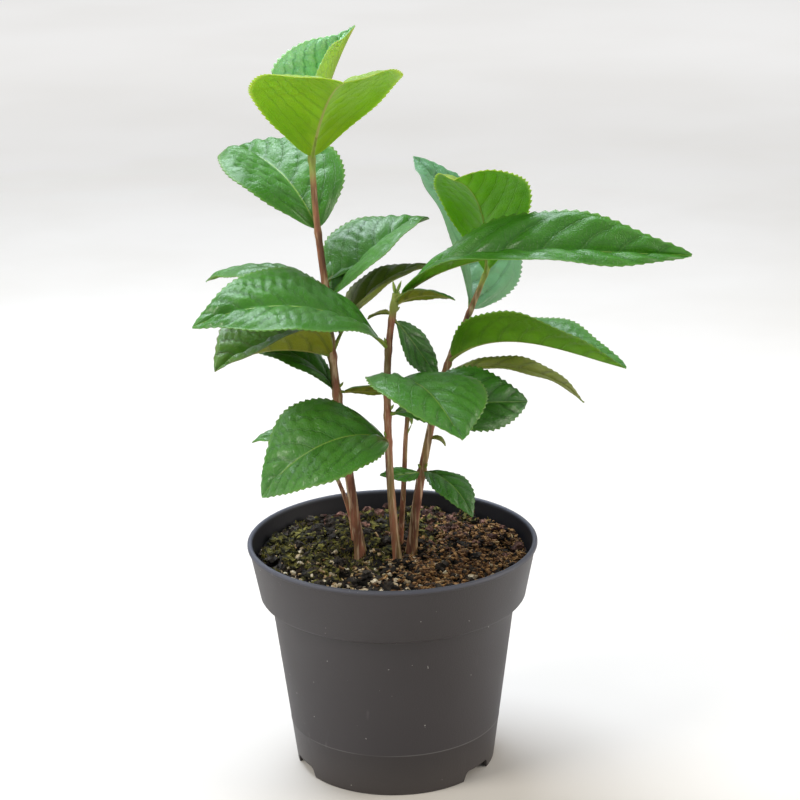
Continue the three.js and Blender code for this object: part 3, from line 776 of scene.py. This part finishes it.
# Each mass of leaves stands on its own stretch of a stem and keeps within a reach of that stretch. Its
# fill adds leaves by a seeded rule on the side named by azimuth.
masses = {
    "left_top": {
        "stem": "left", "start": 243, "end": 258.5, "reach": 100,
        "leaves": {
            "crown": leaf(
                at=256.5, azimuth=77, rise=51.5, length=61, width=64, arch=15.5, fold=65.5, roll=-26,
                twist=16.5, sway=-8.5, curl=0.3, taper=0.83, upper="backlit", under="brightUnder",
            ),
            "shield": leaf(
                at=255.5, azimuth=288.8, rise=60.7, length=86.2, width=61.5, arch=50, fold=20.5, roll=-3,
                twist=-3.4, sway=-8, curl=-0.55, stalk=1, upper="bright", under="brightUnder", quilt=0.45,
            ),
        },
    },
    "left_neck": {
        "stem": "left", "start": 218.5, "end": 242.7, "reach": 80,
        "leaves": {
            "back": leaf(
                at=226.5, azimuth=129, rise=59, length=64, width=55, arch=62, fold=16, roll=-3, sway=6,
                stalk=1, upper="glossy",
            ),
        },
    },
    "left_upper": {
        "stem": "left", "start": 189, "end": 218.2, "reach": 75,
        "leaves": {
            "right": leaf(
                at=198, azimuth=35, rise=48, length=56, width=45, arch=38, fold=24, roll=5, twist=-12,
                under="freshUnder",
            ),
            "left": leaf(
                at=199, azimuth=142, rise=36, length=61, width=28, arch=67, fold=-6, roll=5, sway=6,
            ),
        },
        "fill": {"count": 1, "at": 205, "azimuth": 60, "rise": 22, "length": 40, "width": 22, "seed": 3},
    },
    "left_middle": {
        "stem": "left", "start": 169.5, "end": 188.7, "reach": 75,
        "leaves": {
            "left": leaf(
                at=176, azimuth=207, rise=23.5, length=53, width=55, arch=46, fold=33, roll=18, twist=-30,
                sway=1.5, curl=0.45, stalk=1, upper="worn", under="oliveUnder",
                bite={"right": False, "at": 0.9, "width": 0.035, "depth": 0.5},
            ),
            "right": leaf(
                at=177, azimuth=26, rise=64, length=50, width=28, arch=60, fold=19, roll=-7, stalk=8,
                upper="olive", under="oliveUnder",
            ),
        },
        "fill": {"count": 1, "at": 183, "azimuth": 122, "rise": 15, "length": 50, "width": 28, "seed": 5},
    },
    "left_low": {
        "stem": "left", "start": 148, "end": 169.2, "reach": 60,
        "leaves": {
            "left": leaf(
                at=159.5, azimuth=165, rise=62, length=46, width=24, arch=75, fold=10, roll=-2, twist=-12,
                upper="dark",
            ),
            "right": leaf(
                at=161, azimuth=-5, rise=6, length=24, width=16, arch=10, fold=4, roll=-30,
                under="oliveUnder",
            ),
        },
    },
    "left_side": {
        "stem": "leftThin", "start": 124, "end": 136, "reach": 60,
        "leaves": {
            "left": leaf(at=134, azimuth=178, rise=32, length=28, width=20, stalk=1),
        },
        "fill": {"count": 1, "at": 130, "azimuth": 82, "rise": 20, "length": 46, "width": 26, "seed": 7},
    },
    "middle_low": {
        "stem": "middle", "start": 136, "end": 149, "reach": 75,
        "leaves": {
            "left": leaf(
                at=144, azimuth=222.7, rise=36.8, length=61.7, width=52.7, arch=100.4, fold=13, roll=-24,
                twist=2.3, sway=-6.3, curl=-0.27, belly=0.9, stalk=2,
            ),
        },
    },
    "middle_middle": {
        "stem": "middle", "start": 149.3, "end": 173, "reach": 75,
        "leaves": {
            "front": leaf(
                at=164, azimuth=309, rise=50, length=60, width=50, arch=78, fold=11, roll=-12, curl=-1,
            ),
            "right": leaf(
                at=155, azimuth=342, rise=17, length=57.5, width=34, arch=56, fold=16, roll=13, twist=49,
                sway=29.5, curl=0.5, upper="dark",
            ),
        },
    },
    "middle_upper": {
        "stem": "middle", "start": 173.3, "end": 189.5, "reach": 95,
        "leaves": {
            "left": leaf(
                at=182, azimuth=206, rise=47, length=80, width=48, arch=70, fold=14, roll=-14, twist=-16,
                sway=4, stalk=6, upper="glossy",
            ),
        },
    },
    "middle_top": {
        "stem": "middle", "start": 189.8, "end": 203, "reach": 130,
        "leaves": {
            "long": leaf(
                at=200.5, azimuth=333, rise=47, length=119, width=37.5, arch=63.5, fold=32, roll=2.5,
                twist=54, sway=21, curl=-0.7, stalk=5, upper="glossy", under="freshUnder", quilt=1.4,
                veinGap=15, toothPitch=4,
            ),
            "small": leaf(
                at=199, azimuth=-12.4, rise=36.4, length=27.5, width=15, arch=52.5, fold=6, roll=-35,
                sway=-4.5, curl=-0.3, stalk=2, upper="dark", under="oliveUnder",
            ),
            "behind": leaf(
                at=194.5, azimuth=31, rise=-50, length=30, width=18, arch=-12, fold=3, roll=51, twist=10,
                sway=-31, curl=-0.2, upper="dark",
            ),
        },
    },
    "middle_thin_top": {
        "stem": "middleThin", "start": 146, "end": 158, "reach": 55,
        "leaves": {},
        "fill": {"count": 1, "at": 150, "azimuth": 58, "rise": 10, "length": 40, "width": 22, "seed": 11},
    },
    "right_foot": {
        "stem": "right", "start": 119, "end": 137, "reach": 45,
        "leaves": {
            "right": leaf(
                at=125.5, azimuth=313, rise=14, length=32, width=18, arch=70, fold=4, stalk=2, upper="dark",
            ),
            "left": leaf(
                at=125.5, azimuth=228, rise=5, length=19.5, width=10.5, arch=2, fold=8, roll=-20, sway=-24,
                curl=0.3, stalk=2, upper="glossy",
            ),
        },
    },
    "right_low": {
        "stem": "right", "start": 144, "end": 158.7, "reach": 60,
        "leaves": {},
        "fill": {"count": 1, "at": 152, "azimuth": 88, "rise": 14, "length": 48, "width": 27, "seed": 13},
    },
    "right_middle": {
        "stem": "right", "start": 159, "end": 181, "reach": 90,
        "leaves": {
            "upper": leaf(
                at=172, azimuth=331, rise=48, length=78, width=43, arch=55, fold=36, roll=-22, twist=6,
                sway=28, curl=-1.2, under="freshUnder",
            ),
            "lower": leaf(
                at=167.5, azimuth=-16.7, rise=20.3, length=58.5, width=12, arch=68.5, fold=28, roll=18,
                sway=3.5, curl=0.2, upper="olive", under="paleUnder",
            ),
        },
        "fill": {"count": 1, "at": 178, "azimuth": 30, "rise": 30, "length": 42, "width": 24, "seed": 17},
    },
    "right_upper": {
        "stem": "right", "start": 181.3, "end": 200, "reach": 95,
        "leaves": {
            "back": leaf(
                at=193, azimuth=85.8, rise=25.3, length=83.7, width=68.6, arch=9.3, fold=25.6, roll=57.5,
                twist=-15, sway=41.5, curl=-0.58, belly=1.05, stalk=1, upper="misty",
            ),
        },
    },
    "right_top": {
        "stem": "right", "start": 200.3, "end": 210.5, "reach": 90,
        "leaves": {
            "front": leaf(
                at=207.5, azimuth=281, rise=65, length=68.8, width=43.4, arch=47, fold=30.8, roll=-18,
                twist=-1.6, sway=-24.4, curl=0.62, belly=1.06, stalk=1,
                upper="bright", under="limeUnder", quilt=0.5,
            ),
        },
    },
}


# The rib of a leaf: its points, and its directions along, sideways and up.
def ribOf(root, leaf):
    stations = blade["ribStations"]
    azimuth, rise = math.radians(leaf["azimuth"]), math.radians(leaf["rise"])
    level = math.cos(rise)
    along = Vector((math.cos(azimuth) * level, math.sin(azimuth) * level, math.sin(rise)))
    side = Vector((-math.sin(azimuth), math.cos(azimuth), 0))
    side.rotate(Quaternion(along, math.radians(leaf["roll"])))
    up = along.cross(side)
    point = root + along * leaf["stalk"]
    rib = []
    for index in range(stations + 1):
        rib.append({"point": point.copy(), "along": along.copy(), "side": side.copy(), "up": up.copy()})
        middle = (index + 0.5) / stations
        bend = math.radians(leaf["arch"]) * (1 + leaf["curl"] * (2 * middle - 1)) / stations
        turns = (
            (side, bend, (along, up)),
            (up, math.radians(leaf["sway"]) / stations, (along, side)),
            (along, math.radians(leaf["twist"]) / stations, (side, up)),
        )
        for axis, angle, turned in turns:
            turn = Quaternion(axis, angle)
            for direction in turned:
                direction.rotate(turn)
        point = point + along * (leaf["length"] / stations)
    return rib


# The rib's point and directions at any share of its length, on a smooth curve through its stations.
def ribAt(rib, share):
    place = min(1, max(0, share)) * (len(rib) - 1)
    index = min(int(place), len(rib) - 2)
    near = [rib[min(max(index + step, 0), len(rib) - 1)] for step in (-1, 0, 1, 2)]
    found = {}
    for key in ("point", "along", "side", "up"):
        first, second, third, fourth = [station[key] for station in near]
        found[key] = cubic(second, third, (third - first) / 2, (fourth - second) / 2, place - index)
    for key in ("along", "side", "up"):
        found[key].normalize()
    return found


# Half the blade's width at a share of its length: a wedge at the root, and a pointed tip.
def halfWidth(leaf, share):
    outline = max(0, math.sin(math.pi * share ** leaf["belly"])) ** 0.92 * (1 - 0.22 * share**7)
    narrowing = 1 - leaf["taper"] * share**2
    return max(0.3, leaf["width"] / 2 * outline * narrowing)


# Even random numbers from -1 to 1, by the same rule as in the solids.
def seededSpread(seed, prime=2147483647):
    state = seed * 7919
    while True:
        state = state * 16807 % prime
        yield state / prime * 2 - 1


def fillLeaves(count=0, seed=1, **middle):
    spread = seededSpread(seed)
    return [
        leaf(**{
            **middle,
            "azimuth": middle["azimuth"] + 6 * next(spread),
            "rise": middle["rise"] + 4 * next(spread),
            "length": middle["length"] * (1 + 0.06 * next(spread)),
            "arch": 48 + 10 * next(spread),
            "fold": 12 + 5 * next(spread),
            "roll": 8 * next(spread),
        })
        for _ in range(count)
    ]


# True where a leaf keeps within its mass's reach and its rib stays off every stem but its own.
def keepsItsSpace(mass, rib):
    centre = stemAxis(stems[mass["stem"]], (mass["start"] + mass["end"]) / 2)
    for station in rib:
        point = station["point"]
        if (point - centre).length > mass["reach"]:
            return False
        for name, stem in stems.items():
            if name == mass["stem"] or not soil["level"] <= point.z <= stem["path"][-1][2]:
                continue
            if (stemAxis(stem, point.z) - point).length <= stemRadius(stem, point.z) + soil["clearance"]:
                return False
    return True


# A flat slab of two layers in steps along and across, with its two faces in two materials.
def makeSlab(stations, columns):
    slab = bmesh.new()
    bmesh.ops.create_grid(slab, x_segments=stations, y_segments=2 * columns, size=1)
    grown = bmesh.ops.extrude_face_region(slab, geom=slab.faces[:] + slab.edges[:] + slab.verts[:])["geom"]
    lower = [part for part in grown if isinstance(part, bmesh.types.BMVert)]
    bmesh.ops.translate(slab, vec=(0, 0, -1), verts=lower)
    bmesh.ops.recalc_face_normals(slab, faces=slab.faces)
    for face in slab.faces:
        face.material_index = 0 if face.calc_center_median().z > -0.9 else 1
    return slab


# A blade: a thin slab with a toothed edge, pillows between its side veins and a keel under its rib.
def makeBlade(leaf, rib, seed):
    stations = 3 * max(8, round(leaf["length"] / leaf["toothPitch"]))
    veinCount = max(4, leaf["length"] / leaf["veinGap"])
    widest, fold, bite = leaf["width"] / 2, math.radians(leaf["fold"]), leaf["bite"]
    slab = makeSlab(stations, blade["columns"])
    veinMap = slab.loops.layers.uv.new("veinMap")
    bladeMap = slab.loops.layers.uv.new("bladeMap")
    frames = [ribAt(rib, index / stations) for index in range(stations + 1)]
    halves = [halfWidth(leaf, index / stations) for index in range(stations + 1)]
    wave = random.Random(seed).uniform(0, math.tau)

    spots = {}
    for vert in slab.verts:
        station, even = round((vert.co.x + 1) / 2 * stations), abs(vert.co.y)
        share, across = station / stations, even - 0.1 * math.sin(math.tau * even)
        lean = across * halves[station] / leaf["length"] * (0.6 + 0.85 * across)
        spots[vert] = (station, share, across, veinCount * (share - lean))
    for face in slab.faces:
        shift = blade["veinShift"] if face.calc_center_median().y < 0 else 0
        for loop in face.loops:
            station, share, across, count = spots[loop.vert]
            loop[veinMap].uv = (count + shift, across * halves[station] / 10)
            loop[bladeMap].uv = (share, across)

    for vert, (station, share, across, count) in spots.items():
        here, half, right = frames[station], halves[station], vert.co.y < 0
        count += blade["veinShift"] if right else 0
        if across > 0.999:
            rim = smoothStep(0.05, 0.2, share) * (1 - smoothStep(0.93, 0.99, share))
            tooth = blade["toothSteps"][station % 3] * min(1, 0.2 + widest / 20)
            half += blade["toothDepth"] * rim * tooth
        if bite and right == bite["right"]:
            half *= 1 - bite["depth"] * math.exp(-(((share - bite["at"]) / bite["width"]) ** 2))
        distance = across * half
        pillow = math.sin(math.pi * (count % 1)) ** 0.7
        pillow *= 1 + 0.5 * noise.noise(Vector((count * 0.9, across * 3, seed)))
        pillow *= smoothStep(0.02, 0.2, across) * (1 - smoothStep(0.7, 0.98, across))
        pillow *= smoothStep(0.02, 0.16, share) * (1 - smoothStep(0.84, 1, share))
        edgeWave = math.sin(math.tau * blade["waves"] * share + wave + (2 if right else 0)) * across**2
        lift = distance * math.sin(fold) - blade["cup"] * half * across**2
        lift += blade["quiltHeight"] * widest * leaf["quilt"] * pillow
        lift += blade["wave"] * leaf["length"] * edgeWave * smoothStep(0, 0.3, share)
        if vert.co.z > -0.5:
            lift -= blade["groove"] * math.exp(-((distance / blade["grooveWidth"]) ** 2)) * (1 - 0.6 * share)
            lift += blade["thickness"] / 2
        else:
            lift -= blade["keel"] * math.exp(-((distance / blade["keelWidth"]) ** 2)) * (1 - 0.75 * share)
            lift -= blade["thickness"] / 2 - (blade["thickness"] - blade["edgeThickness"]) * across
        sideways = (-1 if right else 1) * distance * math.cos(fold)
        vert.co = here["point"] + here["side"] * sideways + here["up"] * lift
    return slab


# Stalks: from the middle of the stem to a little way under the rib, thinner and flatter on top.
stalkShape = {"ribShare": 0.14, "widest": 1.25, "narrowing": 0.62, "flatTop": 0.8, "sides": 12, "rings": 18}


def makeStalk(root, leaf, rib):
    stops = [root, root + rib[0]["along"] * leaf["stalk"] * 0.5]
    for step in (0, 0.5, 1):
        here = ribAt(rib, step * stalkShape["ribShare"])
        stops.append(here["point"] - here["up"] * (0.25 + 0.1 * step))
    rod = makeRod(stalkShape["sides"], stalkShape["rings"])
    base = min(stalkShape["widest"], 0.75 + leaf["length"] / 180)
    for vert in rod.verts:
        share = vert.co.z
        ahead = curvePoint(stops, min(1, share + 0.02)) - curvePoint(stops, max(0, share - 0.02))
        ahead.normalize()
        side = rib[0]["side"] - ahead * rib[0]["side"].dot(ahead)
        side.normalize()
        radius = base * (1 - stalkShape["narrowing"] * smoothStep(0, 1, share))
        flat = stalkShape["flatTop"] if vert.co.y > 0 else 1
        offset = side * vert.co.x + ahead.cross(side) * vert.co.y * flat
        vert.co = curvePoint(stops, share) + offset * radius
    bmesh.ops.recalc_face_normals(rod, faces=rod.faces)
    return rod


def addTo(bm, extra):
    mesh = bpy.data.meshes.new("extra")
    extra.to_mesh(mesh)
    extra.free()
    bm.from_mesh(mesh)
    bpy.data.meshes.remove(mesh)


# Buds: pointed, with a few scales wound round them.
def makeBud(place, direction, length, width, curl=0.0):
    bud = bmesh.new()
    bmesh.ops.create_uvsphere(bud, u_segments=14, v_segments=12, radius=1)
    turn = direction.to_track_quat("Z", "Y")
    for vert in bud.verts:
        share = (vert.co.z + 1) / 2
        angle = math.atan2(vert.co.y, vert.co.x)
        girth = math.sin(math.pi * min(1, share * 0.94 + 0.06)) ** 0.8 * (1 - 0.35 * share)
        scale = 1 + 0.1 * math.sin(2 * angle + share * 7)
        radius = girth * width * scale * 0.75 if abs(vert.co.z) < 0.999 else 0
        out = Vector((math.cos(angle), math.sin(angle), 0)) * radius
        vert.co = place + turn @ (out + Vector((curl * length * share**2, 0, length * share)))
    bmesh.ops.recalc_face_normals(bud, faces=bud.faces)
    return bud


stalks, buds = bmesh.new(), bmesh.new()
leafJoints = {name: [] for name in stems}
jointBud = {"above": 1.6, "upwards": 1.3, "outwards": 0.7, "length": 3.2, "width": 0.85, "curl": 0.05}
leafSeeds = itertools.count(1)


# Adds a blade to a piece in its own two looks, and its stalk to the stalks.
def growLeaf(bm, looks, given, root, rib):
    slab = makeBlade(given, rib, next(leafSeeds))
    looks += [given[face] for face in ("upper", "under") if given[face] not in looks]
    for face in slab.faces:
        face.material_index = looks.index(given["under" if face.material_index else "upper"])
    addTo(bm, slab)
    addTo(stalks, makeStalk(root, given, rib))


def growJointBud(stem, height, along):
    away = (along + Vector((0, 0, jointBud["upwards"]))).normalized()
    level = Vector((along.x, along.y, 0)).normalized()
    outwards = level * stemRadius(stem, height) * jointBud["outwards"]
    foot = stemAxis(stem, height + jointBud["above"]) + outwards
    addTo(buds, makeBud(foot, away, jointBud["length"], jointBud["width"], jointBud["curl"]))


def finishLeaves(name, bm, looks, nodes=()):
    finishPiece("leaf_" + name, bm, [leafMaterials[look] for look in looks], nodes)


for massName, mass in masses.items():
    bm, looks = bmesh.new(), []
    stem = stems[mass["stem"]]
    for given in [*mass["leaves"].values(), *fillLeaves(**mass.get("fill", {}))]:
        root = stemAxis(stem, given["at"])
        rib = ribOf(root, given)
        if keepsItsSpace(mass, rib):
            growLeaf(bm, looks, given, root, rib)
            growJointBud(stem, given["at"], rib[0]["along"])
            leafJoints[mass["stem"]].append(given["at"])
    finishLeaves(massName, bm, looks, ["leaves_" + massName])
print("leaves made,", sum(len(heights) for heights in leafJoints.values()))

# Tips end in two pointed leaves still rolled up. Sprigs are scale leaves too small for the solids.
tipBuds = {"length": 6.5, "width": 1.05, "lean": 15, "curl": 0.1}
sprigs = {
    "right": leaf(
        at=140, azimuth=-8, rise=12, length=7.5, width=5, arch=75, stalk=1, upper="olive",
        under="oliveUnder", quilt=0.3,
    ),
    "middle": leaf(
        at=196, azimuth=150, rise=2, length=11, width=7, arch=40, stalk=1.5, upper="olive",
        under="oliveUnder", quilt=0.5,
    ),
}
bm, looks = bmesh.new(), []
for stemName, given in sprigs.items():
    root = stemAxis(stems[stemName], given["at"])
    growLeaf(bm, looks, given, root, ribOf(root, given))
finishLeaves("sprigs", bm, looks)
for name, stem in stems.items():
    top = Vector(stem["path"][-1])
    heading = (top - stemAxis(stem, top.z - 6)).normalized()
    for lean in (-1, 1):
        turned = Quaternion((0, 1, 0), math.radians(tipBuds["lean"] * lean)) @ heading
        addTo(buds, makeBud(top - heading, turned, tipBuds["length"], tipBuds["width"], tipBuds["curl"]))
# One bud stands off the thin middle stem on a short shoot.
shoot = {
    "stem": "middleThin", "at": 141, "reach": (2.5, -1.5, 6), "thickness": 0.45, "length": 6, "width": 1.1,
    "curl": 0.1,
}
foot, reach = stemAxis(stems[shoot["stem"]], shoot["at"]), Vector(shoot["reach"])
addTo(buds, makeBud(foot, reach.normalized(), reach.length + 1, shoot["thickness"]))
addTo(buds, makeBud(foot + reach, Vector((0, 0, 1)), shoot["length"], shoot["width"], shoot["curl"]))
finishPiece("leaf_stalks", stalks, [stalkMaterial])
finishPiece("leaf_buds", buds, [budMaterial])

# The bark: each stem whole from the soil to its tip, ridged lengthwise and swollen at its leaf joints.
barkRelief = {
    "sides": 22, "ringGap": 1.1, "ridge": 0.18, "pits": 0.04, "joint": 0.28, "jointSpan": 1.7,
    "jointDrop": 0.8, "stout": 1.6, "sunk": 2.5,
}
barkNodes = {
    "left": ["stem_left"], "leftThin": ["stem_left_thin"], "middle": ["stem_middle"],
    "middleThin": ["stem_middle_thin"], "right": ["stem_right", "bough_right"],
}


def makeBark(name, stem):
    start, end = soil["level"] - barkRelief["sunk"], stem["path"][-1][2]
    rings = round((end - start) / barkRelief["ringGap"])
    rod = makeRod(barkRelief["sides"], rings)
    barkMap = rod.loops.layers.uv.new("barkMap")
    for face in rod.faces:
        for loop in face.loops:
            turn = math.atan2(loop.vert.co.y, loop.vert.co.x) / math.tau
            loop[barkMap].uv = (turn, loop.vert.co.z)
    axis = {}
    for vert in rod.verts:
        height, ring = start + vert.co.z * (end - start), round(vert.co.z * rings)
        above = max(height, soil["level"])
        if ring not in axis:
            axis[ring] = stemAxis(stem, above)
        middle, radius = axis[ring], stemRadius(stem, above)
        angle = math.atan2(vert.co.y, vert.co.x)
        cosine, sine = math.cos(angle), math.sin(angle)
        spot = Vector((cosine * 1.6, sine * 1.6, height * 0.045 + len(name)))
        relief = barkRelief["ridge"] * noise.noise(spot * 1.4)
        relief += barkRelief["pits"] * noise.noise(Vector((angle, height * 0.9, 4)))
        for joint in leafJoints[name]:
            off = (height - joint + barkRelief["jointDrop"]) / barkRelief["jointSpan"]
            relief += barkRelief["joint"] * math.exp(-(off**2))
        radius += relief * (radius / barkRelief["stout"]) ** 0.5
        vert.co = Vector((middle.x + cosine * radius, middle.y + sine * radius, height))
    bmesh.ops.recalc_face_normals(rod, faces=rod.faces)
    finishPiece("bark_" + name, rod, [barkMaterial], barkNodes[name])


for name, stem in stems.items():
    makeBark(name, stem)
print("stems made")


def makeFloor():
    material, tree, surface = newMaterial("floor")
    patch = addBlotches(tree, 3, 0.3, 0.7)
    colour = mixPaint(tree, patch["Mask"], paint(floorLook["pale"]), paint(floorLook["worn"]))
    feed(tree, surface["Base Color"], colour)
    place = addNode(tree, "TexCoord").outputs["Object"]
    away = addNode(tree, "VectorMath", {0: place}, operation="LENGTH").outputs["Value"]
    glow = fade(tree, away, floorLook["near"], floorLook["far"], 0, floorLook["farGlow"])
    feed(tree, surface["Emission Strength"], glow)
    surface["Emission Color"].default_value = paint(floorLook["sky"])
    surface["Roughness"].default_value = 0.8
    bm = bmesh.new()
    bmesh.ops.create_circle(bm, cap_ends=True, segments=96, radius=floorLook["radius"])
    mesh = bpy.data.meshes.new("floor")
    bm.to_mesh(mesh)
    bm.free()
    mesh.materials.append(material)
    addObject("floor", mesh)


def placeCamera():
    camera = addObject("camera", bpy.data.cameras.new("camera"))
    camera.data.lens = view["lens"]
    camera.data.sensor_width = 36
    camera.data.clip_end = 60
    tilt = Matrix.Rotation(math.radians(90 - view["pitchDown"]), 4, "X")
    turn = Matrix.Rotation(math.radians(view["roll"]), 4, "Z")
    camera.matrix_world = Matrix.Translation(view["place"]) @ tilt @ turn
    bpy.context.scene.camera = camera


def placeLamps():
    for name, look in lamps.items():
        lamp = addObject(name, bpy.data.lights.new(name, "AREA"))
        lamp.data.shape = "DISK"
        lamp.data.size = look["size"]
        lamp.data.energy = look["power"]
        lamp.data.color = paint(look["tint"])[:3]
        lamp.location = look["place"]
        ray = Vector(look["aim"]) - Vector(look["place"])
        lamp.rotation_euler = ray.to_track_quat("-Z", "Y").to_euler()
    world = bpy.data.worlds.new("studio")
    world.use_nodes = True
    tree, sky = world.node_tree, world.node_tree.nodes["Background"].inputs
    sky["Color"].default_value = paint(floorLook["sky"])
    seen = addNode(tree, "LightPath").outputs["Is Camera Ray"]
    feed(tree, sky["Strength"], fade(tree, seen, 0, 1, floorLook["skyPower"], floorLook["skySeen"]))
    bpy.context.scene.world = world


makeFloor()
placeCamera()
placeLamps()
bpy.context.scene.view_settings.view_transform = "Standard"
print("floor, camera and lamps placed")
